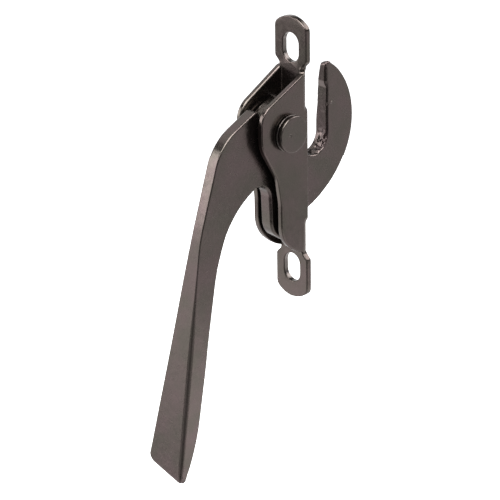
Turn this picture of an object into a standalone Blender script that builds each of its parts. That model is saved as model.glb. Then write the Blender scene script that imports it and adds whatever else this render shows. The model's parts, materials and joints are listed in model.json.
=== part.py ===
"""Casement window sash lock: a cam-action hook lever riveted in a stamped U bracket.

Frame: origin on the mounting plane, midway between the two screw slots and between the two ears.
+Z runs up the window frame, -Y points into the room (the handle's side), +Y points at the sash,
and +X points at the ear that carries the rivet's head. The lever lies in the locked position.
Lengths are in millimetres until the meshes are made, which are in metres.
"""
import math

import bmesh
import bpy
from mathutils import Vector

MM = 0.001
ARC_STEP = 10.0           # degrees between the points of a curved edge
GAP = 0.35                # clearance between neighbouring pieces

# Bracket: one blank of sheet, folded into a U with a screw tab at each end
SHEET = 1.55              # sheet thickness
EAR_SPAN = 9.5            # outside to outside of the two ears
BEND_OUTER = 2.3          # outer bend radius
SLOT_SPACING = 60.3       # screw slot centre to centre, 2 3/8 in
SLOT_WIDTH = 5.8
SLOT_LENGTH = 8.0
TAB_WIDTH = 10.8
TAB_END_RADIUS = 7.3
TAB_END_Z = 38.1          # half of the bracket's 76.2 mm (3 in) length
TAB_INNER_Z = 27.3        # where the tab steps in to its neck
NECK_HALF = 4.05
EAR_END_Z = 24.4          # where the ears' bends stop, above and below
WINDOW_TOP = 15.6         # the lever swings through this window in the web
WINDOW_BOTTOM = -17.4
EAR_BACK = -0.35          # rear edge of the ears beside the window
NECK_FADE = 1.3           # height over which a bend dies out into the flat neck
BEND_STEPS = 4            # facets round each bend
TRANSITION_STEPS = 3      # rows where a bend fades out

# Pivot: a headed rivet, peened over a washer on the far ear
PIVOT_Y = -7.3
PIVOT_Z = 9.8
SHANK_RADIUS = 3.0
BORE_RADIUS = SHANK_RADIUS + GAP
HEAD_RADIUS = 4.85
HEAD_THICKNESS = 1.0
SPRING_THICKNESS = 0.4
SPRING_DISH = 0.15
DISC_RADIUS = 6.6         # friction discs that centre the lever between the ears
TAIL_RADIUS = 4.1
TAIL_THICKNESS = 1.1
TAIL_WASHER_RADIUS = 5.2
TAIL_WASHER_THICKNESS = 0.9

# Lever: handle, hub, stop lobe and hook in one forged plate
PLATE = 3.6
HUB_RADIUS = 7.75
MOUTH_CENTRE = (5.3, 4.35)
MOUTH_RADIUS = 4.85
HOOK_LOW_CENTRE = (-6.5, 11.1)   # the hook's back is two arcs, nearly concentric with the pivot
HOOK_LOW_RADIUS = 27.18
HOOK_TOP_CENTRE = (-0.44, 7.2)
HOOK_TOP_RADIUS = 19.97
HOOK_JOIN_ANGLE = -32.8
UNDERSIDE_CENTRE = (-4.9, -28.0)
UNDERSIDE_RADIUS = 27.0
FLARE_ANGLE = 151.0       # on the underside arc, where the plate begins to widen
FLARE_FRONT = (-36.3, -12.6)
HANDLE_LEAN = 14.9        # degrees from vertical, rear face of the handle
HANDLE_WIDTH = 11.8       # across the widest part, at the end
HANDLE_END_FRONT = (-49.1, -71.9)
HANDLE_END_REAR_Z = -72.8
HANDLE_SLANT = 3.7        # one end corner hangs lower than the other by this much
HANDLE_CORNERS = {1: 1.8, -1: 3.3}   # radius of the end corner on each side
TAPER_RADIUS = 34.0       # the rear face curves forward towards the end
TAPER_ROWS = (14.0, 11.5, 9.0, 6.5, 4.6, 3.3, 2.1, 1.2, 0.5, 0.0)

EAR_INNER = EAR_SPAN / 2 - SHEET


def arc(centre, radius, start, end):
    """Points of an arc from start to end degrees, as sharp corners of an outline."""
    count = max(2, math.ceil(abs(end - start) / ARC_STEP))
    points = []
    for i in range(count + 1):
        angle = math.radians(start + (end - start) * i / count)
        points.append((centre[0] + radius * math.cos(angle), centre[1] + radius * math.sin(angle), 0))
    return points


def rounded(corners, closed=True):
    """An outline through corners (a, b, radius), each one rounded by its radius."""
    points = []
    last = len(corners) - 1
    for i, (a, b, radius) in enumerate(corners):
        corner = Vector((a, b))
        if radius == 0 or (not closed and i in (0, last)):
            points.append(corner)
            continue
        back = (Vector(corners[i - 1][:2]) - corner).normalized()
        ahead = (Vector(corners[(i + 1) % len(corners)][:2]) - corner).normalized()
        half = back.angle(ahead) / 2
        centre = corner + (back + ahead).normalized() * (radius / math.sin(half))
        first = corner + back * (radius / math.tan(half)) - centre
        turn = math.pi - 2 * half
        if back.x * ahead.y - back.y * ahead.x > 0:
            turn = -turn
        count = max(2, math.ceil(abs(math.degrees(turn)) / ARC_STEP))
        for k in range(count + 1):
            angle = turn * k / count
            cos, sin = math.cos(angle), math.sin(angle)
            points.append(centre + Vector((first.x * cos - first.y * sin, first.x * sin + first.y * cos)))
    return points


def make_object(name, bm, mat):
    """Turn a bmesh in millimetres into a named object in metres, with its origin on the pivot."""
    bmesh.ops.recalc_face_normals(bm, faces=bm.faces)
    for vert in bm.verts:
        vert.co = (vert.co - Vector((0, PIVOT_Y, PIVOT_Z))) * MM
    mesh = bpy.data.meshes.new(name)
    bm.to_mesh(mesh)
    bm.free()
    mesh.materials.append(mat)
    mesh.shade_smooth()
    mesh.set_sharp_from_angle(angle=math.radians(35))
    obj = bpy.data.objects.new(name, mesh)
    obj.location = (0, PIVOT_Y * MM, PIVOT_Z * MM)
    bpy.context.scene.collection.objects.link(obj)
    return obj


def soften(obj, width, segments):
    """Round the sharp edges of a piece."""
    bevel = obj.modifiers.new("edges", 'BEVEL')
    bevel.width = width * MM
    bevel.segments = segments
    bevel.limit_method = 'ANGLE'
    bevel.angle_limit = math.radians(50)


def material(name, colour, roughness, metallic):
    """A plain Principled material."""
    mat = bpy.data.materials.new(name)
    mat.use_nodes = True
    mat.diffuse_color = (*colour, 1)
    shader = mat.node_tree.nodes["Principled BSDF"]
    shader.inputs["Base Color"].default_value = (*colour, 1)
    shader.inputs["Roughness"].default_value = roughness
    shader.inputs["Metallic"].default_value = metallic
    return mat


# ---- Bracket -------------------------------------------------------------------------------

BEND_MID = BEND_OUTER - SHEET / 2
BEND_FROM = EAR_SPAN / 2 - BEND_OUTER             # the flat web's half width
BEND_TO = BEND_FROM + BEND_MID * math.pi / 2      # where the flat ear begins, along the blank


def on_blank(y):
    """How far from the blank's centre line the point of an ear at depth y lies."""
    return BEND_TO - BEND_OUTER - y


def half_outline():
    """Right-hand edge of the blank, from the top tab to the bottom one: (across, z, radius)."""
    tab_half = TAB_WIDTH / 2
    end_centre = (0, TAB_END_Z - TAB_END_RADIUS)
    corner = math.degrees(math.acos(tab_half / TAB_END_RADIUS))
    front = on_blank(-16.9)
    top_end = arc(end_centre, TAB_END_RADIUS, 90, corner)
    bottom_end = [(a, -z, r) for a, z, r in reversed(top_end)]
    return [
        *top_end,
        (tab_half, TAB_INNER_Z - 0.2, 1.3),
        (NECK_HALF, TAB_INNER_Z - 1.5, 1.2),
        (NECK_HALF, EAR_END_Z - 0.2, 0.7),
        (front, 17.0, 5.5),
        (front, 7.6, 9.0),
        (on_blank(-11.3), -1.9, 9.0),
        (on_blank(-10.1), -9.0, 12.0),
        (on_blank(-9.95), -EAR_END_Z, 8.2),
        (NECK_HALF, -EAR_END_Z, 0.7),
        (NECK_HALF, -TAB_INNER_Z + 1.5, 1.2),
        (tab_half, -TAB_INNER_Z + 0.2, 1.3),
        *bottom_end,
    ]


def window_outline():
    """The window in the web, wide enough to leave the ears' rear edges straight."""
    half = on_blank(EAR_BACK)
    return [
        (half, WINDOW_TOP, 1.0),
        (-half, WINDOW_TOP, 1.0),
        (-half, WINDOW_BOTTOM, 1.0),
        (half, WINDOW_BOTTOM, 1.0),
    ]


def slot_outline(z):
    """A screw slot, long way up the bracket."""
    radius = SLOT_WIDTH / 2
    reach = SLOT_LENGTH / 2 - radius
    return arc((0, z + reach), radius, 0, 180) + arc((0, z - reach), radius, 180, 360)


def blend(value, start, end):
    """Smooth 0 to 1 as value goes from start to end."""
    t = min(1, max(0, (value - start) / (end - start)))
    return t * t * (3 - 2 * t)


def fold(across, depth, z):
    """Where a point of the flat blank, at a depth from its middle surface, lies once it is folded."""
    side = math.copysign(1, across)
    reach = abs(across)
    if abs(z) > EAR_END_Z + 0.001:
        # the neck flattens out beyond the ends of the bends
        curvature = (1 - 0.999 * blend(abs(z), EAR_END_Z, EAR_END_Z + NECK_FADE)) / BEND_MID
        angle = curvature * max(0, reach - BEND_FROM)
        x = min(reach, BEND_FROM) + math.sin(angle) / curvature
        y = -SHEET / 2 - (1 - math.cos(angle)) / curvature
    elif reach >= BEND_TO:
        x = BEND_FROM + BEND_MID
        y = -BEND_OUTER - (reach - BEND_TO)
        angle = math.pi / 2
    else:
        # beside the window nothing pulls the ear's rear edge round, so it stays straight
        beside = blend(z, WINDOW_BOTTOM + 0.2, WINDOW_BOTTOM + 2.4)
        beside *= 1 - blend(z, WINDOW_TOP - 2.2, WINDOW_TOP - 0.2)
        curvature = (1 - 0.999 * beside) / BEND_MID
        turn = curvature * (BEND_TO - max(reach, BEND_FROM))
        angle = math.pi / 2 - turn
        x = BEND_FROM + BEND_MID - (1 - math.cos(turn)) / curvature - max(0, BEND_FROM - reach)
        y = -BEND_OUTER + math.sin(turn) / curvature
    return Vector((side * (x + depth * math.sin(angle)), y + depth * math.cos(angle), z))


def cut(bm, faces, point, normal):
    """Split the faces that a plane crosses."""
    geometry = set(faces)
    for face in faces:
        geometry.update(face.edges, face.verts)
    bmesh.ops.bisect_plane(bm, geom=list(geometry), dist=0.001, plane_co=point, plane_no=normal)


def make_bracket(mat):
    """The blank with its holes, given its thickness and folded."""
    right = half_outline()
    left = [(-a, z, r) for a, z, r in reversed(right[1:-1])]
    pivot_hole = arc((on_blank(PIVOT_Y), PIVOT_Z), BORE_RADIUS, 0, 360)[:-1]
    loops = [
        rounded(right + left),
        rounded(window_outline()),
        rounded(slot_outline(SLOT_SPACING / 2)),
        rounded(slot_outline(-SLOT_SPACING / 2)),
        rounded(pivot_hole),
        rounded([(-a, z, r) for a, z, r in pivot_hole]),
    ]
    bm = bmesh.new()
    for loop in loops:
        verts = [bm.verts.new((a, 0, z)) for a, z in loop]
        for i, vert in enumerate(verts):
            bm.edges.new((verts[i - 1], vert))
    bmesh.ops.remove_doubles(bm, verts=bm.verts, dist=0.01)
    bmesh.ops.triangle_fill(bm, use_beauty=True, use_dissolve=False, edges=bm.edges, normal=(0, -1, 0))
    for i in range(BEND_STEPS + 1):
        across = BEND_FROM + (BEND_TO - BEND_FROM) * i / BEND_STEPS
        for side in (-1, 1):
            cut(bm, bm.faces, (side * across, 0, 0), (1, 0, 0))
    transitions = (
        (EAR_END_Z, EAR_END_Z + NECK_FADE),
        (-EAR_END_Z - NECK_FADE, -EAR_END_Z),
        (WINDOW_TOP - 2.2, WINDOW_TOP - 0.2),
        (WINDOW_BOTTOM + 0.2, WINDOW_BOTTOM + 2.4),
    )
    for low, high in transitions:
        for i in range(TRANSITION_STEPS + 1):
            in_bends = [f for f in bm.faces if BEND_FROM < abs(f.calc_center_median().x) < BEND_TO]
            cut(bm, in_bends, (0, 0, low + (high - low) * i / TRANSITION_STEPS), (0, 0, 1))
    front = list(bm.verts)
    back = bmesh.ops.extrude_face_region(bm, geom=bm.faces[:])["geom"]
    for vert in front:
        vert.co.y = -SHEET / 2
    for vert in back:
        if isinstance(vert, bmesh.types.BMVert):
            vert.co.y = SHEET / 2
    for vert in bm.verts:
        vert.co = fold(*vert.co)
    bmesh.ops.dissolve_limit(bm, angle_limit=math.radians(0.2), verts=bm.verts, edges=bm.edges)
    return make_object("mounting_bracket", bm, mat)


# ---- Lever ---------------------------------------------------------------------------------

def lever_plate():
    """Edge of the flat plate: up from the handle's rear, round the hook and hub, to its front."""
    underside = arc(UNDERSIDE_CENTRE, UNDERSIDE_RADIUS, FLARE_ANGLE, 117.0)
    lower_back = arc(HOOK_LOW_CENTRE, HOOK_LOW_RADIUS, -79.6, HOOK_JOIN_ANGLE)
    upper_back = arc(HOOK_TOP_CENTRE, HOOK_TOP_RADIUS, HOOK_JOIN_ANGLE, 51.0)
    mouth = arc(MOUTH_CENTRE, MOUTH_RADIUS, 0, -180)
    hub = arc((PIVOT_Y, PIVOT_Z), HUB_RADIUS, 0, 141.0)
    web_face = -SHEET - GAP
    return rounded([
        *underside,
        (-16.2, -3.55, 1.2),
        (-11.0, -4.9, 2.6),          # root of the stop lobe
        (-10.45, -17.4, 4.5),
        (web_face, -23.1, 1.2),      # the lobe's end stops against the web
        *lower_back,
        *upper_back,
        (10.6, 24.0, 1.0),
        (9.1, 23.6, 0.9),
        (9.1, 18.4, 1.2),            # the small lip that keeps the keeper in the mouth
        (MOUTH_CENTRE[0] + MOUTH_RADIUS, 16.6, 1.2),
        *mouth,
        *hub,
        (-13.75, 14.2, 0.6),         # notch behind the crest
        (-15.4, 17.1, 1.0),          # crest, the stop for the open position
        (-28.3, 11.3, 13.3),
        (*FLARE_FRONT, 0),
    ], closed=False)


def corner_inset(radius, height):
    """How far a rounded end corner draws the side in, at a height above the end."""
    if height >= radius:
        return 0
    return radius - math.sqrt(radius ** 2 - (radius - height) ** 2)


def handle_stations():
    """Each cross-section of the widening handle, top to bottom: front, rear, half widths, slant."""
    rear = [p[:2] for p in arc(UNDERSIDE_CENTRE, UNDERSIDE_RADIUS, FLARE_ANGLE, 180 - HANDLE_LEAN)]
    join_y, join_z = rear[-1]
    straight = join_z - HANDLE_END_REAR_Z - TAPER_ROWS[0]
    rows = 5
    drops = [straight * i / rows for i in range(1, rows)]
    drops += [straight + TAPER_ROWS[0] - height for height in TAPER_ROWS]
    for drop in drops:
        taper = max(0, drop - straight) ** 2 / (2 * TAPER_RADIUS)
        rear.append((join_y - drop * math.tan(math.radians(HANDLE_LEAN)) - taper, join_z - drop))
    top = rear[0][1]
    stations = []
    for y, z in rear:
        share = (top - z) / (top - HANDLE_END_REAR_Z)
        front_y = FLARE_FRONT[0] + (HANDLE_END_FRONT[0] - FLARE_FRONT[0]) * share
        front_z = FLARE_FRONT[1] + (HANDLE_END_FRONT[1] - FLARE_FRONT[1]) * share
        half = PLATE / 2 + (HANDLE_WIDTH - PLATE) / 2 * share
        height = z - HANDLE_END_REAR_Z
        halves = {side: half - corner_inset(r, height) for side, r in HANDLE_CORNERS.items()}
        slant = HANDLE_SLANT / 2 * blend(share, 0.86, 1.0)
        stations.append(((front_y, front_z), (y, z), halves, slant))
    return stations


def tip_cutter(mat):
    """Wedge that thins the hook's tip from one side, a lead-in for the keeper."""
    bm = bmesh.new()
    inner = 8.0
    side = -2.2
    points = (
        (side, inner, 16.2),
        (0.28, inner, 18.4),
        (side, 13.2, 18.4),
        (1.0, inner, 25.5),
        (side, inner, 25.5),
        (side, 14.7, 25.5),
    )
    for point in points:
        bm.verts.new(point)
    bmesh.ops.convex_hull(bm, input=bm.verts)
    return make_object("lever_tip_cutter", bm, mat)


def make_lever(mat):
    """Flat plate and widening handle as one closed body, bored for the rivet and thinned at the tip."""
    plate = lever_plate()
    stations = handle_stations()
    bm = bmesh.new()
    faces = []
    walls = []
    for side in (1, -1):
        edge = [bm.verts.new((side * PLATE / 2, y, z)) for y, z in plate]
        front = [edge[-1]]
        rear = [edge[0]]
        for (fy, fz), (ry, rz), halves, slant in stations[1:]:
            front.append(bm.verts.new((side * halves[side], fy, fz - side * slant)))
            rear.append(bm.verts.new((side * halves[side], ry, rz - side * slant)))
        faces.append(edge)
        for i in range(len(front) - 1):
            faces.append([front[i], front[i + 1], rear[i + 1], rear[i]])
        walls.append(front[::-1][:-1] + edge[::-1] + rear[1:])
    for corners in faces:
        bm.faces.new(corners)
    near, far = walls
    for i in range(len(near)):
        bm.faces.new((near[i - 1], near[i], far[i], far[i - 1]))
    obj = make_object("hook_lever", bm, mat)
    bore = turned("lever_bore_cutter", [(-4, 0), (-4, BORE_RADIUS), (4, BORE_RADIUS), (4, 0)], mat)
    for cutter in (bore, tip_cutter(mat)):
        cutter.hide_render = True
        cutter.display_type = 'WIRE'
        difference = obj.modifiers.new(cutter.name, 'BOOLEAN')
        difference.operation = 'DIFFERENCE'
        difference.solver = 'EXACT'
        difference.object = cutter
    soften(obj, 0.35, 1)
    return obj


# ---- Turned pieces on the pivot ------------------------------------------------------------

def turned(name, profile, mat):
    """A closed body turned about the pivot: profile points are (x, radius), radius 0 on the axis."""
    count = round(360 / ARC_STEP)
    bm = bmesh.new()
    rings = []
    for x, radius in profile:
        if radius == 0:
            rings.append([bm.verts.new((x, PIVOT_Y, PIVOT_Z))] * count)
            continue
        ring = []
        for i in range(count):
            angle = 2 * math.pi * i / count
            y = PIVOT_Y + radius * math.cos(angle)
            z = PIVOT_Z + radius * math.sin(angle)
            ring.append(bm.verts.new((x, y, z)))
        rings.append(ring)
    pairs = list(zip(rings, rings[1:]))
    if profile[0][1] and profile[-1][1]:
        pairs.append((rings[-1], rings[0]))
    for one, two in pairs:
        for i in range(count):
            corners = []
            for vert in (one[i - 1], one[i], two[i], two[i - 1]):
                if vert not in corners:
                    corners.append(vert)
            bm.faces.new(corners)
    return make_object(name, bm, mat)


def ring_profile(x_low, x_high, inner, outer, edge):
    """Section of a flat washer with its outer corners broken."""
    return [
        (x_low, inner),
        (x_low, outer - edge),
        (x_low + edge, outer),
        (x_high - edge, outer),
        (x_high, outer - edge),
        (x_high, inner),
    ]


def make_pivot_pieces(dark, steel):
    """Rivet, spring washer, two friction discs and the washer under the peened tail."""
    face = EAR_SPAN / 2
    spring_low = face + GAP
    spring_high = spring_low + SPRING_THICKNESS
    spring = [
        (spring_low + SPRING_DISH, BORE_RADIUS),
        (spring_low, HEAD_RADIUS),
        (spring_high, HEAD_RADIUS),
        (spring_high + SPRING_DISH, BORE_RADIUS),
    ]
    turned("spring_washer", spring, steel)

    disc_low = PLATE / 2 + GAP
    disc_high = EAR_INNER - GAP
    turned("friction_disc_front", ring_profile(disc_low, disc_high, BORE_RADIUS, DISC_RADIUS, 0.1), steel)
    turned("friction_disc_rear", ring_profile(-disc_high, -disc_low, BORE_RADIUS, DISC_RADIUS, 0.1), steel)

    washer_high = -face - GAP
    washer_low = washer_high - TAIL_WASHER_THICKNESS
    tail_washer = ring_profile(washer_low, washer_high, BORE_RADIUS, TAIL_WASHER_RADIUS, 0.15)
    turned("tail_washer", tail_washer, steel)

    head_low = spring_high + SPRING_DISH + GAP * 0.8
    head_high = head_low + HEAD_THICKNESS
    tail_high = washer_low - GAP
    tail_low = tail_high - TAIL_THICKNESS
    rivet = [
        (tail_low, 0),
        (tail_low + 0.05, TAIL_RADIUS * 0.45),
        (tail_low + 0.35, TAIL_RADIUS * 0.82),
        (tail_high - 0.3, TAIL_RADIUS),
        (tail_high, TAIL_RADIUS - 0.1),
        (tail_high, SHANK_RADIUS),
        (head_low, SHANK_RADIUS),
        (head_low, HEAD_RADIUS - 0.15),
        (head_low + 0.15, HEAD_RADIUS),
        (head_high - 0.25, HEAD_RADIUS),
        (head_high, HEAD_RADIUS - 0.3),
        (head_high, 0),
    ]
    turned("pivot_rivet", rivet, dark)


def main():
    for obj in list(bpy.data.objects):
        bpy.data.objects.remove(obj, do_unlink=True)
    bronze = material("dark_bronze_coat", (0.075, 0.062, 0.056), 0.42, 0.55)
    lever_coat = material("dark_bronze_lever", (0.080, 0.066, 0.060), 0.42, 0.55)
    rivet_coat = material("dark_bronze_rivet", (0.078, 0.066, 0.060), 0.38, 0.6)
    washer_steel = material("darkened_steel", (0.10, 0.09, 0.085), 0.4, 0.9)
    make_bracket(bronze)
    make_lever(lever_coat)
    make_pivot_pieces(rivet_coat, washer_steel)


main()
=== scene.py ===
"""Looks of the casement window sash lock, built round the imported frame.

Lengths inside the mesh code are in millimetres; finished meshes are in metres, in the CAD's frame.
An outline's points are (a, b). On the bracket they are the distance across the flat blank and z,
and on the lever they are y and z.
"""

import json
import math

import bmesh
import bpy
from mathutils import Matrix, Vector, noise


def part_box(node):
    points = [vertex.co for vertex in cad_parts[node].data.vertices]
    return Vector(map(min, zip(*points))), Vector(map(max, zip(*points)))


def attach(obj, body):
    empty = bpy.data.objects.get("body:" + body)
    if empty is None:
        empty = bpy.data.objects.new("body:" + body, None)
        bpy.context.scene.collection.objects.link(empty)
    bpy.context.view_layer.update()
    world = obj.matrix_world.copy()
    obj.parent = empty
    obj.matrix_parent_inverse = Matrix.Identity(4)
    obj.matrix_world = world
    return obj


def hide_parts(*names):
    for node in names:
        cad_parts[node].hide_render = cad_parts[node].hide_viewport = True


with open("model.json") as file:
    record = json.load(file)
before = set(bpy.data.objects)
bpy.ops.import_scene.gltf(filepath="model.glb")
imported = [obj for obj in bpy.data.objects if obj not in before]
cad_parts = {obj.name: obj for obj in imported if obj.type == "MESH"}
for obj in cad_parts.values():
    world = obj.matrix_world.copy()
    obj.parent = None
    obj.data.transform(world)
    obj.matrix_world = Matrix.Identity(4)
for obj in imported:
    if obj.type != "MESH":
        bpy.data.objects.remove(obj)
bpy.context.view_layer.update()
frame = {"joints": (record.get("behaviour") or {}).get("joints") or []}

MM = 0.001
ARC_STEP = 5.0            # degrees between the points of a curved edge
EDGE_STEPS = 4            # facets round a rounded edge
DOUBLED = 0.02            # outline points closer than this are one point
SNAP = 0.001              # a point this close to a plane lies on it
TURNED_SIDES = 96         # facets round a turned body

# Bracket
SHEET = 1.55
EAR_SPAN = 9.7            # over the outsides of the ears
BEND_OUTER = 2.0          # outer radius of the folds
SLOT_SPACING = 60.3
SLOT_WIDTH = 5.5
SLOT_ROLL = 0.3           # rolled front edge of the screw slots
SLOT_LENGTH = 7.8
TAB_WIDTH = 11.05
TAB_END_RADIUS = 7.3
TAB_END_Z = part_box("mounting_bracket")[1].z / MM + 0.28      # a little past the CAD's end
TAB_INNER_Z = 27.3        # the tabs narrow to their necks from here
NECK_HALF = 4.05
EAR_END_Z = 24.4          # the folds end this far above and below the middle
WINDOW_TOP = 15.6
WINDOW_BOTTOM = -17.4
EAR_BACK = -0.35          # depth of the ears' straight edges beside the window
NECK_FADE = 1.3           # height over which a fold dies out in a neck
# The folds straighten over these heights, at the two ends of the window.
TOP_FADE = (WINDOW_TOP - 2.2, WINDOW_TOP - 0.2)
BOTTOM_FADE = (WINDOW_BOTTOM + 0.2, WINDOW_BOTTOM + 2.4)
STRAIGHTENED = 0.999      # a flattened fold keeps the rest of its curvature, to divide by
BEND_STEPS = 8
TRANSITION_STEPS = 6
BLANK_COLUMNS = 3
BLANK_GAP = 1.2           # longest stretch between two points of the blank's outlines

# Pivot
PIVOT_Y = frame["joints"][0]["pos_m"][1] / MM
PIVOT_Z = frame["joints"][0]["pos_m"][2] / MM
BORE_RADIUS = 3.35
HEAD_RADIUS = 4.85
HEAD_THICKNESS = 1.0
HEAD_RIM = 0.34           # radius of the head's rounded rim
HEAD_ROWS = 28            # rings across the head's flat face, for its dimples
SHANK_RADIUS = 3.0
TAIL_RADIUS = 4.1
TAIL_HEIGHT = 1.1
TAIL_CROWN = 0.78         # height of the peened tail's crown
TAIL_ROWS = 14
PEEN_DEPTH = 0.14         # hammer marks on the tail
PEEN_PITCH = 1.3
# Each dimple in the rivet's head: y and z from the axis, depth and size.
DIMPLES = ((-1.4, 0.1, 0.3, 0.36), (0.2, 0.09, 0.06, 0.26))
# Each washer: piece, CAD node, outer radius, dish and rolled edge.
WASHERS = (
    ("dished_spring_washer", "spring_washer", 4.85, 0.15, 0.1),
    ("front_friction_disc", "friction_disc_front", 6.6, 0, 0.1),
    ("rear_friction_disc", "friction_disc_rear", 6.6, 0, 0.1),
    ("flat_tail_washer", "tail_washer", 5.2, 0, 0.15),
)

# Lever
PLATE = 3.6
HUB_RADIUS = 7.75
MOUTH_CENTRE = (5.3, 4.35)
MOUTH_RADIUS = 4.85
HOOK_THICKENING = 0.75    # how much further the hook reaches on its -X side round the mouth
HOOK_LOW_CENTRE = (-6.5, 11.1)
HOOK_LOW_RADIUS = 27.18
HOOK_TOP_CENTRE = (-0.44, 7.2)
HOOK_TOP_RADIUS = 20.1
HOOK_JOIN_ANGLE = -32.8
UNDERSIDE_CENTRE = (-4.9, -28.0)
UNDERSIDE_RADIUS = 26.75
# How far the underside leaves its arc, at what z it does so most, and the spread of that.
UNDERSIDE_FULLNESS = (0.32, -16.5, 4.5)
FLARE_FRONT = (-36.3, -12.6)
HANDLE_LEAN = 14.9        # of the rear face, in degrees
HANDLE_FRONT_LEAN = 12.2
HANDLE_DEPTH = 4.5        # from the front face to the rear face near the end
HANDLE_END_FRONT = (-49.16, -72.2)
HANDLE_END_REAR_Z = -73.1
TAPER_RADIUS = 40.0
TAPER_HEIGHT = 14.0
TAPER_STEPS = 10
FLARE_Z = -10.0           # the plate widens below this height
FLARE_START = 6           # over this height, from nothing to the full rate
FLARE_RATE = 0.0755       # half width gained for each millimetre down
HANDLE_SLANT = 0.275      # drop of the handle's end for each millimetre across
HANDLE_CORNERS = {1: 1.2, -1: 2.2}      # radius of the end's corners on the +X and -X sides
# The slanted flat on the hook's tip: its x at y = 9.6 and z = 14, and its slopes in z and y.
TIP_FLAT = (-1.75, 0.177, -0.477)
TIP_BLEND = 0.25          # how softly the flat leaves the plate's side
TIP_DROP = 0.13           # fall of the tip's top towards -X, for each square millimetre
PLAIN_EDGE = 0.42         # radius of the lever's ordinary edges
HOOK_EDGE = 0.3
END_EDGE = 0.7
LEVER_COLUMNS = 14
LEVER_GAP = 0.45          # longest stretch between two points of the lever's outline
BORE_GAP = 1
WALL_BAND = 0.6           # a point this near the mouth's or the hub's circle is on its wall
CAST_MOUTH = 0.39         # depth of the cast lumps in the mouth, up the hook and on the hub
CAST_HOOK = 0.05
CAST_HUB = 0.12
CAST_PITCH = 1.1
CAP_DEPTH = 0.6           # faces nearer the +X side than this count as its flat face
NIB_AREA = ((9.2, 11.2), (12.1, 14.1))  # part of the +X face that is divided for the nibs
NIB_CUTS = 20
NIB_PITCH = 0.15
NIB_HEIGHT = 0.48
NIBS = (((1.6, 10.15, 12.0), 0.3), ((1.8, 11.45, 12.5), 0.26))  # place (x, y, z) and size of each


# ---- Outlines ------------------------------------------------------------------------------

def arc(centre, radius, start, end):
    """Points of an arc from start to end degrees, as sharp corners of an outline."""
    count = max(2, math.ceil(abs(end - start) / ARC_STEP))
    points = []
    for i in range(count + 1):
        angle = math.radians(start + (end - start) * i / count)
        a = centre[0] + radius * math.cos(angle)
        b = centre[1] + radius * math.sin(angle)
        points.append((a, b, 0))
    return points


def rounded(corners):
    """A closed outline through corners (a, b, radius), each one rounded by its radius."""
    points = []
    for i, (a, b, radius) in enumerate(corners):
        corner = Vector((a, b))
        if radius == 0:
            points.append(corner)
            continue
        back = (Vector(corners[i - 1][:2]) - corner).normalized()
        ahead = (Vector(corners[(i + 1) % len(corners)][:2]) - corner).normalized()
        half = back.angle(ahead) / 2
        centre = corner + (back + ahead).normalized() * (radius / math.sin(half))
        first = corner + back * (radius / math.tan(half)) - centre
        turn = math.pi - 2 * half
        if back.x * ahead.y - back.y * ahead.x > 0:
            turn = -turn
        count = max(2, math.ceil(abs(math.degrees(turn)) / ARC_STEP))
        for k in range(count + 1):
            angle = turn * k / count
            cos, sin = math.cos(angle), math.sin(angle)
            spoke = Vector((first.x * cos - first.y * sin, first.x * sin + first.y * cos))
            points.append(centre + spoke)
    return points


def respaced(points, gap):
    """The same outline with its long stretches divided and its doubled points left out."""
    result = []
    for i, point in enumerate(points):
        step = point - points[i - 1]
        if step.length < DOUBLED:
            continue
        count = math.ceil(step.length / gap)
        for k in range(1, count + 1):
            result.append(points[i - 1] + step * (k / count))
    return result


def turned_left(points, want):
    """The outline turned so that its material is on its left: want is 1 outside, -1 for a hole."""
    area = sum(points[i - 1].cross(p) for i, p in enumerate(points))
    return points if area * want > 0 else points[::-1]


def smooth(value, start, end):
    """Smooth 0 to 1 as value goes from start to end."""
    t = min(1, max(0, (value - start) / (end - start)))
    return t * t * (3 - 2 * t)


def soft_max(a, b, width):
    """The larger of two values, with the corner between them rounded."""
    return (a + b + math.sqrt((a - b) ** 2 + width ** 2)) / 2


# ---- Solids with rounded edges -------------------------------------------------------------

def slab(loops, half, edge, columns):
    """A plate with these outlines, the first its outside and the others its holes.

    Its points are (a, b, depth), with depth from -half(point) to half(point). The rounded edge at a
    point of outline number index has the radius edge(index, point, side), and columns divide the
    wall between the edges of the two sides.
    """
    bm = bmesh.new()
    caps = ([], [])
    for index, loop in enumerate(loops):
        points = turned_left(loop, 1 if index == 0 else -1)
        count = len(points)
        rows = []
        for i, point in enumerate(points):
            ahead = (points[(i + 1) % count] - point).normalized()
            way = ahead + (point - points[i - 1]).normalized()
            inward = Vector((-way.y, way.x)).normalized()
            radii = {side: edge(index, point, side) for side in (1, -1)}
            reach = half(point)
            row = []
            for side, steps in ((1, range(EDGE_STEPS + 1)), (-1, range(EDGE_STEPS, -1, -1))):
                for k in steps:
                    angle = math.pi / 2 * (1 - k / EDGE_STEPS)
                    spot = point + inward * (radii[side] * (1 - math.cos(angle)))
                    row.append((*spot, side * (reach - radii[side] * (1 - math.sin(angle)))))
                if side == 1:
                    high, low = reach - radii[1], radii[-1] - reach
                    for c in range(1, columns):
                        depth = high + (low - high) * (1 - math.cos(math.pi * c / columns)) / 2
                        row.append((*point, depth))
            rows.append([bm.verts.new(co) for co in row])
        for i in range(count):
            one, two = rows[i - 1], rows[i]
            for k in range(len(one) - 1):
                bm.faces.new((one[k], two[k], two[k + 1], one[k + 1]))
            caps[0].append(bm.edges.get((one[0], two[0])))
            caps[1].append(bm.edges.get((one[-1], two[-1])))
    for edges in caps:
        bmesh.ops.triangle_fill(
            bm, use_beauty=True, use_dissolve=False, edges=edges, normal=(0, 0, 1))
    return bm


def faces_where(bm, test):
    """The faces whose middle passes a test."""
    return [face for face in bm.faces if test(face.calc_center_median())]


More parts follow.
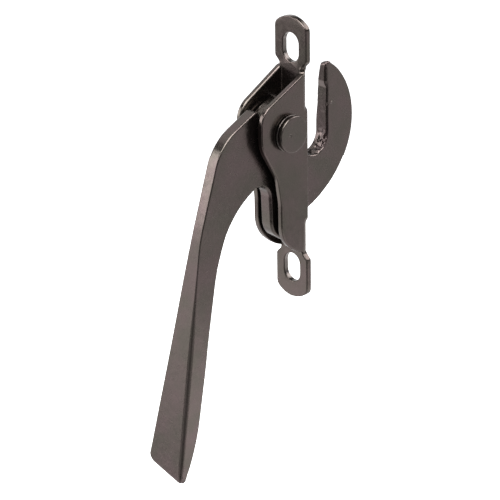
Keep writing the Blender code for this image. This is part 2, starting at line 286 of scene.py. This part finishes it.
def cut(bm, faces, point, normal):
    """Split the faces that a plane crosses."""
    geometry = set(faces)
    for face in faces:
        geometry.update(face.edges, face.verts)
    bmesh.ops.bisect_plane(bm, geom=list(geometry), dist=SNAP, plane_co=point, plane_no=normal)


def turned(profile):
    """A body turned about the pivot from (x, radius) points, with radius 0 on the axis."""
    bm = bmesh.new()
    count = TURNED_SIDES
    rings = []
    for x, radius in profile:
        if radius == 0:
            rings.append([bm.verts.new((x, PIVOT_Y, PIVOT_Z))] * count)
            continue
        ring = []
        for i in range(count):
            angle = 2 * math.pi * i / count
            y = PIVOT_Y + radius * math.cos(angle)
            z = PIVOT_Z + radius * math.sin(angle)
            ring.append(bm.verts.new((x, y, z)))
        rings.append(ring)
    pairs = list(zip(rings, rings[1:]))
    if profile[0][1] and profile[-1][1]:
        pairs.append((rings[-1], rings[0]))
    for one, two in pairs:
        for i in range(count):
            corners = []
            for vert in (one[i - 1], one[i], two[i], two[i - 1]):
                if vert not in corners:
                    corners.append(vert)
            bm.faces.new(corners)
    return bm


def round_corner(centre, radius, start, end, steps):
    """Profile points round a corner, in (x, radius), from start to end degrees."""
    points = []
    for k in range(steps + 1):
        angle = math.radians(start + (end - start) * k / steps)
        points.append((centre[0] + radius * math.cos(angle), centre[1] + radius * math.sin(angle)))
    return points


def finish_piece(name, bm, mat, body, nodes):
    """Turn a bmesh in millimetres into a shaded piece that rides on its body for its CAD nodes."""
    bmesh.ops.recalc_face_normals(bm, faces=bm.faces)
    for vert in bm.verts:
        vert.co *= MM
    mesh = bpy.data.meshes.new(name)
    bm.to_mesh(mesh)
    bm.free()
    mesh.materials.append(mat)
    mesh.shade_smooth()
    obj = bpy.data.objects.new(name, mesh)
    bpy.context.scene.collection.objects.link(obj)
    weighted = obj.modifiers.new("normals", 'WEIGHTED_NORMAL')
    weighted.mode = 'FACE_AREA'
    weighted.weight = 80
    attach(obj, body)
    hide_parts(*nodes)
    return obj


def rough_up(bm, strength, pitch):
    """Push points along their normals by noise; strength(co) gives its depth at a point."""
    bm.normal_update()
    moves = []
    for vert in bm.verts:
        depth = strength(vert.co)
        if depth:
            wave = noise.noise(vert.co / pitch) + 0.5 * noise.noise(vert.co * (2.3 / pitch))
            moves.append((vert, vert.normal * (wave * depth)))
    for vert, move in moves:
        vert.co += move


# ---- Bracket -------------------------------------------------------------------------------

BEND_MID = BEND_OUTER - SHEET / 2
BEND_FROM = EAR_SPAN / 2 - BEND_OUTER
BEND_TO = BEND_FROM + BEND_MID * math.pi / 2


def on_blank(y):
    """How far from the blank's centre line the point of an ear at depth y lies."""
    return BEND_TO - BEND_OUTER - y


def bracket_side(ear, low_neck):
    """One side of the blank's edge, from top to bottom, round an ear and under its neck.

    The arc of each end stops 8 degrees short, which leaves room for the tab's rounded corner.
    """
    tab_half = TAB_WIDTH / 2
    end_centre = TAB_END_Z - TAB_END_RADIUS
    corner = math.acos(tab_half / TAB_END_RADIUS)
    top_end = arc((0, end_centre), TAB_END_RADIUS, 90, math.degrees(corner) + 8)
    top_end.append((tab_half, end_centre + TAB_END_RADIUS * math.sin(corner), 2.2))
    return [
        *top_end,
        (tab_half, TAB_INNER_Z - 0.35, 1.3),
        (NECK_HALF, TAB_INNER_Z - 1.75, 1.2),
        *ear,
        low_neck,
        (tab_half, low_neck[1] - 1.4, 1.2),
        *[(a, -z, r) for a, z, r in reversed(top_end)],
    ]


def bracket_outline():
    """The blank's edge. The ear on the left is a little fuller above and more rounded below."""
    right = bracket_side([
        (NECK_HALF, EAR_END_Z - 0.2, 0.7),
        (on_blank(-16.9), 17.0, 5.5),
        (on_blank(-16.9), 7.6, 9.0),
        (on_blank(-11.3), -1.9, 9.0),
        (on_blank(-10.1), -9.0, 12.0),
        (on_blank(-9.95), -20.0, 8.5),
        (on_blank(-4.0), -23.9, 8.0),
        (NECK_HALF, -24.7, 0.4),
    ], (NECK_HALF, -25.5, 0.4))
    left = bracket_side([
        (NECK_HALF, EAR_END_Z + 0.4, 0.7),
        (on_blank(-16.3), 16.7, 6.0),
        (on_blank(-16.5), 7.6, 9.0),
        (on_blank(-11.5), -1.9, 9.0),
        (on_blank(-10.4), -9.0, 12.0),
        (on_blank(-10.35), -18.7, 9.5),
        (on_blank(-4.4), -23.7, 11.0),
        (NECK_HALF, -24.9, 0.5),
    ], (NECK_HALF, -25.75, 0.5))
    return rounded(right + [(-a, z, r) for a, z, r in reversed(left[1:-1])])


def bracket_edge(index, point, side):
    """Radius of the bracket's edges: side 1 is the back of the tabs and the outside of the ears."""
    right = point.x > 0
    if index in (2, 3) and side < 0:                # the screw slots
        return SLOT_ROLL
    if index > 0:
        return 0.12
    if abs(point.y) > EAR_END_Z:                    # the tabs
        if side > 0:
            return 0.14
        return 0.38 if right else 0.22
    if right:
        return 0.36
    return 0.25 if side > 0 else 0.25 + 0.35 * smooth(point.y, 0, 6)


def window_outline():
    """The window that the lever swings through."""
    half = on_blank(EAR_BACK)
    corners = [(half, WINDOW_TOP), (-half, WINDOW_TOP)]
    corners += [(-half, WINDOW_BOTTOM), (half, WINDOW_BOTTOM)]
    return rounded([(a, z, 1.0) for a, z in corners])


def slot_outline(z):
    """A screw slot, long way up the bracket."""
    radius = SLOT_WIDTH / 2
    reach = SLOT_LENGTH / 2 - radius
    return rounded(arc((0, z + reach), radius, 0, 180) + arc((0, z - reach), radius, 180, 360))


def fold(across, z, depth):
    """Where a point of the flat blank lies once the blank is folded."""
    side = math.copysign(1, across)
    reach = abs(across)
    if abs(z) > EAR_END_Z + SNAP:
        curvature = (1 - STRAIGHTENED * smooth(abs(z), EAR_END_Z, EAR_END_Z + NECK_FADE)) / BEND_MID
        angle = curvature * max(0, reach - BEND_FROM)
        x = min(reach, BEND_FROM) + math.sin(angle) / curvature
        y = -SHEET / 2 - (1 - math.cos(angle)) / curvature
    elif reach >= BEND_TO:
        x = BEND_FROM + BEND_MID
        y = -BEND_OUTER - (reach - BEND_TO)
        angle = math.pi / 2
    else:
        beside = smooth(z, *BOTTOM_FADE) * (1 - smooth(z, *TOP_FADE))
        curvature = (1 - STRAIGHTENED * beside) / BEND_MID
        turn = curvature * (BEND_TO - max(reach, BEND_FROM))
        angle = math.pi / 2 - turn
        x = BEND_FROM + BEND_MID - (1 - math.cos(turn)) / curvature - max(0, BEND_FROM - reach)
        y = -BEND_OUTER + math.sin(turn) / curvature
    return Vector((side * (x + depth * math.sin(angle)), y + depth * math.cos(angle), z))


def on_slot_wall(face):
    """Whether a face of the flat blank is part of a screw slot's wall, behind its rolled edge."""
    a, z, depth = face.calc_center_median()
    across = abs(a) < SLOT_WIDTH / 2 + 0.01
    along = abs(abs(z) - SLOT_SPACING / 2) < SLOT_LENGTH / 2 + 0.01
    return across and along and SLOT_ROLL - SHEET / 2 < depth < SHEET / 2 - 0.05


def make_bracket(mat, slot_wall_sheen_mat):
    """The blank with its holes and rolled edges, folded into the U bracket."""
    hole = rounded(arc((on_blank(PIVOT_Y), PIVOT_Z), BORE_RADIUS, 0, 360)[:-1])
    loops = [
        bracket_outline(),
        window_outline(),
        slot_outline(SLOT_SPACING / 2),
        slot_outline(-SLOT_SPACING / 2),
        hole,
        [Vector((-p.x, p.y)) for p in hole],
    ]
    loops = [respaced(loop, BLANK_GAP) for loop in loops]
    bm = slab(loops, lambda point: SHEET / 2, bracket_edge, BLANK_COLUMNS)
    for i in range(BEND_STEPS + 1):
        across = BEND_FROM + (BEND_TO - BEND_FROM) * i / BEND_STEPS
        for side in (-1, 1):
            cut(bm, bm.faces, (side * across, 0, 0), (1, 0, 0))
    transitions = (
        (EAR_END_Z, EAR_END_Z + NECK_FADE),
        (-EAR_END_Z - NECK_FADE, -EAR_END_Z),
        TOP_FADE,
        BOTTOM_FADE,
    )
    for low, high in transitions:
        for i in range(TRANSITION_STEPS + 1):
            in_bends = faces_where(bm, lambda mid: BEND_FROM < abs(mid.x) < BEND_TO)
            cut(bm, in_bends, (0, low + (high - low) * i / TRANSITION_STEPS, 0), (0, 1, 0))
    # Painted sheen: the screw slots' walls take a lighter coat that stands in for the light falling
    # on them.
    for face in bm.faces:
        if on_slot_wall(face):
            face.material_index = 1
    for vert in bm.verts:
        vert.co = fold(*vert.co)
    bracket = finish_piece(
        "coated_bracket", bm, mat, "bracket", ["mounting_bracket"])
    bracket.data.materials.append(slot_wall_sheen_mat)


# ---- Lever ---------------------------------------------------------------------------------

def lever_outline():
    """The lever's whole side view: round the hook, mouth and hub, and down the handle and back."""
    lean = math.tan(math.radians(HANDLE_LEAN))
    fullness, middle, spread = UNDERSIDE_FULLNESS
    underside = [
        (y + fullness * math.exp(-((z - middle) / spread) ** 2), z, radius)
        for y, z, radius in arc(UNDERSIDE_CENTRE, UNDERSIDE_RADIUS, 180 - HANDLE_LEAN, 117.0)
    ]
    join_y, join_z = underside[0][:2]
    straight = join_z - HANDLE_END_REAR_Z - TAPER_HEIGHT
    taper = []
    for i in range(TAPER_STEPS + 1):
        fall = TAPER_HEIGHT * (1 - i / TAPER_STEPS)
        y = join_y - (straight + fall) * lean - fall ** 2 / (2 * TAPER_RADIUS)
        taper.append((y, HANDLE_END_REAR_Z + TAPER_HEIGHT - fall, 0.9 if i == 0 else 0))
    return rounded([
        *taper,
        *underside,
        (-16.2, -3.55, 1.2),
        (-11.2, -4.9, 3.8),
        (-10.6, -17.8, 6.0),
        (-SHEET - 0.35, -23.6, 1.2),
        *arc(HOOK_LOW_CENTRE, HOOK_LOW_RADIUS, -79.6, HOOK_JOIN_ANGLE),
        *arc(HOOK_TOP_CENTRE, HOOK_TOP_RADIUS, HOOK_JOIN_ANGLE, 53.0),
        (11.25, 23.75, 0.8),
        (9.6, 23.55, 0.9),
        (9.6, 18.4, 1.2),
        (MOUTH_CENTRE[0] + MOUTH_RADIUS, 16.6, 1.2),
        *arc(MOUTH_CENTRE, MOUTH_RADIUS, 0, -180),
        *arc((PIVOT_Y, PIVOT_Z), HUB_RADIUS, 0, 141.0),
        (-13.75, 14.2, 0.6),
        (-15.4, 17.1, 1.0),
        (-28.3, 11.3, 13.3),
        (*FLARE_FRONT, 60.0),
        (*HANDLE_END_FRONT, 0.8),
    ])


def handle_front(z):
    """How far forward the handle's front face lies at a height."""
    slope = (FLARE_FRONT[0] - HANDLE_END_FRONT[0]) / (FLARE_FRONT[1] - HANDLE_END_FRONT[1])
    return FLARE_FRONT[0] + slope * (z - FLARE_FRONT[1])


def handle_edge(y, z, side):
    """Radius of the handle's edges: softer towards the end, and even round the end itself."""
    if z < -8 and y > handle_front(z) + 2:
        radius = 0.25 + 0.55 * smooth(-z, 17, 26) - 0.35 * smooth(-z, 36, 48)
    elif side > 0:
        radius = 0.35 + 0.8 * smooth(-z, 18, 45)
    else:
        radius = 0.45 + 0.35 * smooth(-z, 18, 45)
    return END_EDGE + (radius - END_EDGE) * smooth(z, -71.8, -69.0)


def tip_edge(y, z, side):
    """Radius of the edges round the hook's tip: softest down its inner face on the +X side."""
    if side < 0:
        return HOOK_EDGE
    if y > 10.4 or z > 23.0:
        return HOOK_EDGE + 0.4 * smooth(z, 21.0, 23.0)
    return 0.58 + 0.42 * smooth(z, 16.2, 18.2) - 0.3 * smooth(z, 22.0, 23.0)


def lever_edge(index, point, side):
    """Radius of the lever's edges: side 1 is the +X side, where the rivet's head is."""
    if index > 0:
        return 0.2
    y, z = point
    if y < -26 and z < 8:
        return handle_edge(y, z, side)
    if y > 6 and z > 14:
        return tip_edge(y, z, side)
    if y > 10.6:
        return HOOK_EDGE
    if y > 6 and z > 2 and side > 0:                # the hook's inner face
        return PLAIN_EDGE + 0.16 * smooth(z, 2, 5)
    if y < -12 and z > 5:                           # the crest
        return PLAIN_EDGE if side > 0 else 0.75
    if z < -4 and y < -16:                          # the handle's underside
        return 0.25 + 0.17 * smooth(y, -26, -20)
    if z < -4 and y < 3:                            # the lobe
        return 0.8 if side > 0 else 0.3
    return PLAIN_EDGE


def lever_half(point):
    """Half the lever's thickness: the plate's, and wider down the handle."""
    y, z = point
    return half_width(z) if y < -14 else PLATE / 2


def half_width(z):
    """Half the handle's width at a height."""
    below = max(0, FLARE_Z - z)
    gain = below ** 2 / (2 * FLARE_START) if below < FLARE_START else below - FLARE_START / 2
    return PLATE / 2 + FLARE_RATE * gain


def tip_warp(x, y, z):
    """A point of the hook's tip, with the tip thinned from -X and its top falling that way."""
    half = PLATE / 2
    start, rise, fall = TIP_FLAT
    flat = start + rise * (z - 14) + fall * (y - 9.6)
    low = soft_max(-half, flat, TIP_BLEND) - TIP_BLEND / 2
    x = low + (x + half) / PLATE * (half - low)
    return x, y, z - TIP_DROP * (half - x) ** 2 * smooth(z, 21.0, 24.0)


def end_warp(x, y, z):
    """A point near the handle's end, with the end slanted and its corners rounded."""
    height = z - HANDLE_END_REAR_Z
    reach = half_width(z)
    radius = HANDLE_CORNERS[1 if x > 0 else -1]
    inset = max(0, radius - (reach - abs(x)))
    lift = radius - math.sqrt(max(0, radius ** 2 - inset ** 2))
    shift = (1 - smooth(height, 1.5, 15)) * (lift - HANDLE_SLANT * x)
    front = math.tan(math.radians(HANDLE_FRONT_LEAN))
    rear = math.tan(math.radians(HANDLE_LEAN)) + max(0, TAPER_HEIGHT - height) / TAPER_RADIUS
    part = min(1, max(0, (y - handle_front(z)) / HANDLE_DEPTH))
    y += (front + (rear - front) * part) * shift
    z += shift
    return x * (half_width(z) / reach), y, z


def lever_warp(co):
    """The slab's (y, z, depth) as (x, y, z), with the hook, its tip and the handle's end shaped."""
    y, z, x = co
    if y > 0.5:
        round_mouth = (1 - smooth(z, 6, 15)) * smooth(y, 0.5, 4)
        x -= HOOK_THICKENING * (PLATE / 2 - x) / PLATE * round_mouth
    if y > 6 and z > 12:
        x, y, z = tip_warp(x, y, z)
    elif z < -50 and y < -30:
        x, y, z = end_warp(x, y, z)
    return Vector((x, y, z))


def lever_roughness(co):
    """Depth of the cast surface's lumps: deepest in the mouth, less on the hub, none elsewhere."""
    x, y, z = co
    inside = 1 - smooth(abs(x), 1.35, 1.75)
    if not inside:
        return 0
    mouth = math.hypot(y - MOUTH_CENTRE[0], z - MOUTH_CENTRE[1])
    if abs(mouth - MOUTH_RADIUS) < WALL_BAND and z < 5.5:
        return CAST_MOUTH * inside * smooth(5.5 - z, 0, 2)
    if 8 < y < 10.6 and 5 < z < 18:
        return CAST_HOOK * inside
    hub = math.hypot(y - PIVOT_Y, z - PIVOT_Z)
    if abs(hub - HUB_RADIUS) < WALL_BAND and z > PIVOT_Z:
        return CAST_HUB * inside
    return 0


def touches(face, low, high):
    """Whether a flat face on the +X side reaches into a rectangle of the outline's plane."""
    if face.calc_center_median().z < PLATE / 2 - CAP_DEPTH:
        return False
    spans = [[vert.co[axis] for vert in face.verts] for axis in (0, 1)]
    return all(min(span) < high[i] and max(span) > low[i] for i, span in enumerate(spans))


def make_lever(mat):
    """Handle, hub, lobe and hook in one piece, with its cast surface and small casting nibs."""
    bore = rounded(arc((PIVOT_Y, PIVOT_Z), BORE_RADIUS, 0, 360)[:-1])
    loops = [respaced(lever_outline(), LEVER_GAP), respaced(bore, BORE_GAP)]
    bm = slab(loops, lever_half, lever_edge, LEVER_COLUMNS)
    # Rows down the handle and a grid over the hook's tip, for the warp to bend.
    for z in range(-70, -12, 3):
        cut(bm, faces_where(bm, lambda mid: mid.x < -18), (0, z, 0), (0, 1, 0))
    for i in range(12):
        tip = faces_where(bm, lambda mid: mid.x > 6 and mid.y > 13)
        cut(bm, tip, (0, 15 + 0.8 * i, 0), (0, 1, 0))
        cut(bm, tip, (9.6 + 0.6 * i, 0, 0), (1, 0, 0))
    # A fine grid for the nibs.
    low_y, low_z = NIB_AREA[0]
    for i in range(NIB_CUTS):
        step = NIB_PITCH * i
        planes = (((low_y + step, 0, 0), (1, 0, 0)), ((0, low_z + step, 0), (0, 1, 0)))
        for where, normal in planes:
            cut(bm, [face for face in bm.faces if touches(face, *NIB_AREA)], where, normal)
    for vert in bm.verts:
        vert.co = lever_warp(vert.co)
    rough_up(bm, lever_roughness, CAST_PITCH)
    bm.normal_update()
    for spot, size in NIBS:
        for vert in bm.verts:
            near = (vert.co - Vector(spot)).length / size
            if near < 3:
                vert.co += vert.normal * (NIB_HEIGHT * math.exp(-near * near))
    finish_piece("cast_hook_lever", bm, mat, "lever", ["hook_lever"])


# ---- Pivot ---------------------------------------------------------------------------------

def make_rivet(mat):
    """Headed rivet: a flat head with a small dimple, and a peened tail."""
    low, high = (corner.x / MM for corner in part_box("pivot_rivet"))
    flat = HEAD_RADIUS - HEAD_RIM
    under = high - HEAD_THICKNESS
    seat = low + TAIL_HEIGHT
    profile = [(high, 0)]
    for k in range(1, HEAD_ROWS + 1):
        profile.append((high, flat * k / HEAD_ROWS))
    profile += round_corner((high - HEAD_RIM, flat), HEAD_RIM, 0, 90, 6)[1:]
    profile += [(under + 0.12, HEAD_RADIUS), (under, HEAD_RADIUS - 0.14), (under, SHANK_RADIUS)]
    profile += [(seat, SHANK_RADIUS), (seat, 3.95), (low + 0.98, TAIL_RADIUS)]
    profile += [(low + TAIL_CROWN, TAIL_RADIUS)]
    for k in range(1, TAIL_ROWS + 1):
        radius = TAIL_RADIUS * (1 - k / TAIL_ROWS)
        profile.append((low + TAIL_CROWN * (radius / TAIL_RADIUS) ** 2.2, radius))
    bm = turned(profile)
    rough_up(bm, lambda co: PEEN_DEPTH if co.x < low + 0.75 else 0, PEEN_PITCH)
    for dy, dz, depth, size in DIMPLES:
        spot = Vector((high, PIVOT_Y + dy, PIVOT_Z + dz))
        for vert in bm.verts:
            if vert.co.x > high - 0.01:
                near = (vert.co - spot).length / size
                if near < 4:
                    vert.co.x -= depth * (1 - 0.45 * near * near) * math.exp(-near * near)
    finish_piece("domed_pivot_rivet", bm, mat, "bracket", ["pivot_rivet"])


def make_washer(name, node, outer, dish, edge, mat):
    """A washer in the place of its CAD node, dished or flat, with rolled outer corners."""
    low, high = (corner.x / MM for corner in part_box(node))
    high -= dish
    bulge = 0.3 * edge
    profile = [(low + dish, BORE_RADIUS)]
    profile += [(low, outer - edge), (low + bulge, outer - bulge), (low + edge, outer)]
    profile += [(high - edge, outer), (high - bulge, outer - bulge), (high, outer - edge)]
    profile += [(high + dish, BORE_RADIUS)]
    bm = turned(profile)
    finish_piece(name, bm, mat, "bracket", [node])


# ---- Materials -----------------------------------------------------------------------------

PATCH_SCALE = 150         # noise scales, in waves per metre
GLOSS_SCALE = 900
PEEL_SCALE = 700
GRAIN_SCALE = 3200
GLOSS_SPREAD = 0.04


def coat(name, colours, roughness, metallic, grain, depth):
    """A baked bronze coat: two close tones in soft patches, fine orange peel and a faint grain."""
    mat = bpy.data.materials.new(name)
    mat.use_nodes = True
    nodes, links = mat.node_tree.nodes, mat.node_tree.links
    shader = nodes["Principled BSDF"]
    shader.inputs["Metallic"].default_value = metallic
    place = nodes.new("ShaderNodeTexCoord")

    def noise_at(scale, detail):
        texture = nodes.new("ShaderNodeTexNoise")
        texture.inputs["Scale"].default_value = scale
        texture.inputs["Detail"].default_value = detail
        links.new(place.outputs["Object"], texture.inputs["Vector"])
        return texture

    patches = noise_at(PATCH_SCALE, 4)
    tone = nodes.new("ShaderNodeValToRGB")
    tone.color_ramp.elements[0].position = 0.35
    tone.color_ramp.elements[1].position = 0.65
    tone.color_ramp.elements[0].color = (*colours[0], 1)
    tone.color_ramp.elements[1].color = (*colours[1], 1)
    links.new(patches.outputs["Fac"], tone.inputs["Fac"])
    links.new(tone.outputs["Color"], shader.inputs["Base Color"])

    gloss = nodes.new("ShaderNodeMapRange")
    gloss.inputs["From Min"].default_value = 0.3
    gloss.inputs["From Max"].default_value = 0.7
    gloss.inputs["To Min"].default_value = roughness - GLOSS_SPREAD
    gloss.inputs["To Max"].default_value = roughness + GLOSS_SPREAD
    links.new(noise_at(GLOSS_SCALE, 3).outputs["Fac"], gloss.inputs["Value"])
    links.new(gloss.outputs["Result"], shader.inputs["Roughness"])

    peel = nodes.new("ShaderNodeBump")
    peel.inputs["Strength"].default_value = 0.5
    peel.inputs["Distance"].default_value = depth
    links.new(noise_at(PEEL_SCALE, 2).outputs["Fac"], peel.inputs["Height"])
    fine = nodes.new("ShaderNodeBump")
    fine.inputs["Strength"].default_value = 0.5
    fine.inputs["Distance"].default_value = grain
    links.new(noise_at(GRAIN_SCALE, 2).outputs["Fac"], fine.inputs["Height"])
    links.new(peel.outputs["Normal"], fine.inputs["Normal"])
    links.new(fine.outputs["Normal"], shader.inputs["Normal"])
    return mat


# ---- Camera, floor and light ---------------------------------------------------------------

TURN = math.radians(45.0)
ELEVATION = math.radians(22.4)
ROLL = math.radians(-0.71)
FOCAL = 6.408             # focal length, in widths of the picture
DISTANCE = 0.824
AIM = (-0.01164, -0.02392)                  # of the camera: metres right of and above the origin
FLOOR_Z = -0.3
LIT_POINT = Vector((-0.012, -0.02, -0.01))  # middle of the lock


def make_camera():
    """Camera at three-quarter view from above, with a long lens."""
    out = math.cos(ELEVATION)
    back = Vector((math.sin(TURN) * out, -math.cos(TURN) * out, math.sin(ELEVATION)))
    level = Vector((math.cos(TURN), math.sin(TURN), 0))
    rise = back.cross(level)
    right = math.cos(ROLL) * level + math.sin(ROLL) * rise
    up = math.cos(ROLL) * rise - math.sin(ROLL) * level
    data = bpy.data.cameras.new("camera")
    data.sensor_width = 36
    data.lens = FOCAL * data.sensor_width
    data.clip_start = 0.01
    data.clip_end = 100
    camera = bpy.data.objects.new("camera", data)
    bpy.context.scene.collection.objects.link(camera)
    place = Matrix((right, up, back)).transposed().to_4x4()
    place.translation = AIM[0] * right + AIM[1] * up + DISTANCE * back
    camera.matrix_world = place
    bpy.context.scene.camera = camera


def make_floor():
    """A wide pale floor below the lock, left out of its reflections: panels stand in for it there."""
    mesh = bpy.data.meshes.new("floor")
    size = 12                 # metres from the middle to each side
    corners = [(-size, -size, 0), (size, -size, 0), (size, size, 0), (-size, size, 0)]
    mesh.from_pydata(corners, [], [(0, 1, 2, 3)])
    mat = bpy.data.materials.new("pale_floor")
    mat.use_nodes = True
    shader = mat.node_tree.nodes["Principled BSDF"]
    shader.inputs["Base Color"].default_value = (0.9, 0.9, 0.9, 1)
    shader.inputs["Roughness"].default_value = 0.8
    shader.inputs["Emission Color"].default_value = (1, 1, 1, 1)
    shader.inputs["Emission Strength"].default_value = 1.0
    mesh.materials.append(mat)
    floor = bpy.data.objects.new("floor", mesh)
    floor.location = (0, 0, FLOOR_Z)
    bpy.context.scene.collection.objects.link(floor)
    floor.visible_glossy = False
    floor.visible_diffuse = False
    floor.visible_shadow = False


def panel(name, place, facing, width, height, level):
    """A rectangular light at a place in metres: level is how bright it looks."""
    data = bpy.data.lights.new(name, 'AREA')
    data.shape = 'RECTANGLE'
    data.size = width
    data.size_y = height
    data.energy = level * math.pi * width * height
    light = bpy.data.objects.new(name, data)
    bpy.context.scene.collection.objects.link(light)
    light.location = place
    light.rotation_euler = Vector(facing).to_track_quat('-Z', 'Y').to_euler()
    light.visible_camera = False


def softbox(name, azimuth, elevation, distance, width, height, level):
    """A panel turned to the lock: azimuth 0 is the -Y side, and 90 is the +X side."""
    a, e = math.radians(azimuth), math.radians(elevation)
    out = Vector((math.sin(a) * math.cos(e), -math.cos(a) * math.cos(e), math.sin(e)))
    panel(name, out * distance + LIT_POINT, -out, width, height, level)


def make_world():
    """White behind the lock, and a dim room for its reflections."""
    world = bpy.data.worlds.new("studio")
    bpy.context.scene.world = world
    world.use_nodes = True
    nodes, links = world.node_tree.nodes, world.node_tree.links
    output = nodes["World Output"]
    room = nodes["Background"]
    room.inputs["Color"].default_value = (1, 1, 1, 1)
    room.inputs["Strength"].default_value = 0.03
    white = nodes.new("ShaderNodeBackground")
    white.inputs["Color"].default_value = (1, 1, 1, 1)
    white.inputs["Strength"].default_value = 1.0
    path = nodes.new("ShaderNodeLightPath")
    mix = nodes.new("ShaderNodeMixShader")
    links.new(path.outputs["Is Camera Ray"], mix.inputs["Fac"])
    links.new(room.outputs["Background"], mix.inputs[1])
    links.new(white.outputs["Background"], mix.inputs[2])
    links.new(mix.outputs["Shader"], output.inputs["Surface"])


# Name, azimuth and elevation in degrees, distance, width and height in metres, and level.
SOFTBOXES = (
    ("left_key", -47, 20, 0.3, 0.16, 0.145, 5.2),
    ("left_card", -50, -3, 0.6, 0.7, 0.23, 1.9),
    ("low_left_card", -42, -32, 0.6, 1.0, 0.33, 0.5),
    ("overhead", 30, 70, 0.6, 0.6, 0.5, 9.0),
    ("upper_front", 0, 40, 0.6, 0.2, 0.15, 5.0),
    ("upper_left", -90, 47, 0.7, 0.5, 0.3, 1.2),
    ("upper_back", 155, 36, 0.7, 0.6, 0.4, 5.0),
    ("upper_right", 85, 48, 0.7, 0.25, 0.25, 4.0),
    ("right_card", 135, -8, 0.7, 0.75, 0.3, 0.93),
    ("low_right_card", 135, -31, 0.7, 0.75, 0.3, 0.57),
    ("backdrop", -135, 0, 0.8, 1.1, 0.9, 1.2),
    ("side_fill", 88, 5, 0.8, 0.45, 0.7, 0.7),
    ("front_fill", 0, -2, 0.8, 0.35, 0.6, 0.6),
    ("back_fill", 180, 5, 0.8, 0.5, 0.7, 0.8),
)

# Name, place in metres, the way it faces, width, height and level.
PANELS = (
    ("table_behind", (-0.16, 0.17, -0.115), (0, 0, 1), 0.58, 0.42, 1.2),
    ("table_beside", (0.175, 0.03, -0.115), (0, 0, 1), 0.09, 0.18, 1.4),
    ("table_left", (-0.12, -0.12, -0.115), (0, 0, 1), 0.2, 0.16, 1.25),
    ("table_right", (0.055, -0.11, -0.115), (0, 0, 1), 0.15, 0.14, 0.8),
    ("front_card", (0.427, -0.473, -0.07), (-1, 1, 0), 1.2, 0.085, 0.6),
)

make_camera()
make_world()
make_floor()
for light in SOFTBOXES:
    softbox(*light)
for light in PANELS:
    panel(*light)

bronze = coat("dark_bronze_coat", ((0.086, 0.075, 0.065), (0.101, 0.078, 0.075)),
              roughness=0.23, metallic=0.96, grain=0.000008, depth=0.00004)
lever_coat = coat("dark_bronze_lever", ((0.086, 0.075, 0.066), (0.103, 0.079, 0.077)),
                  roughness=0.24, metallic=0.96, grain=0.000010, depth=0.00005)
rivet_coat = coat("dark_bronze_rivet", ((0.086, 0.076, 0.067), (0.099, 0.079, 0.075)),
                  roughness=0.23, metallic=0.96, grain=0.000008, depth=0.00003)
# A lighter coat for the screw slots' walls: painted sheen for the light on them.
slot_wall_sheen = coat("painted_sheen_slot_wall", ((0.095, 0.083, 0.077), (0.175, 0.155, 0.147)),
                 roughness=0.3, metallic=0.95, grain=0.00002, depth=0.00004)
steel = coat("darkened_steel", ((0.12, 0.105, 0.098), (0.15, 0.133, 0.125)),
             roughness=0.3, metallic=1.0, grain=0.00001, depth=0.00002)

make_bracket(bronze, slot_wall_sheen)
make_lever(lever_coat)
make_rivet(rivet_coat)
for washer in WASHERS:
    make_washer(*washer, steel)

bpy.context.scene.view_settings.view_transform = 'Standard'
bpy.context.view_layer.update()
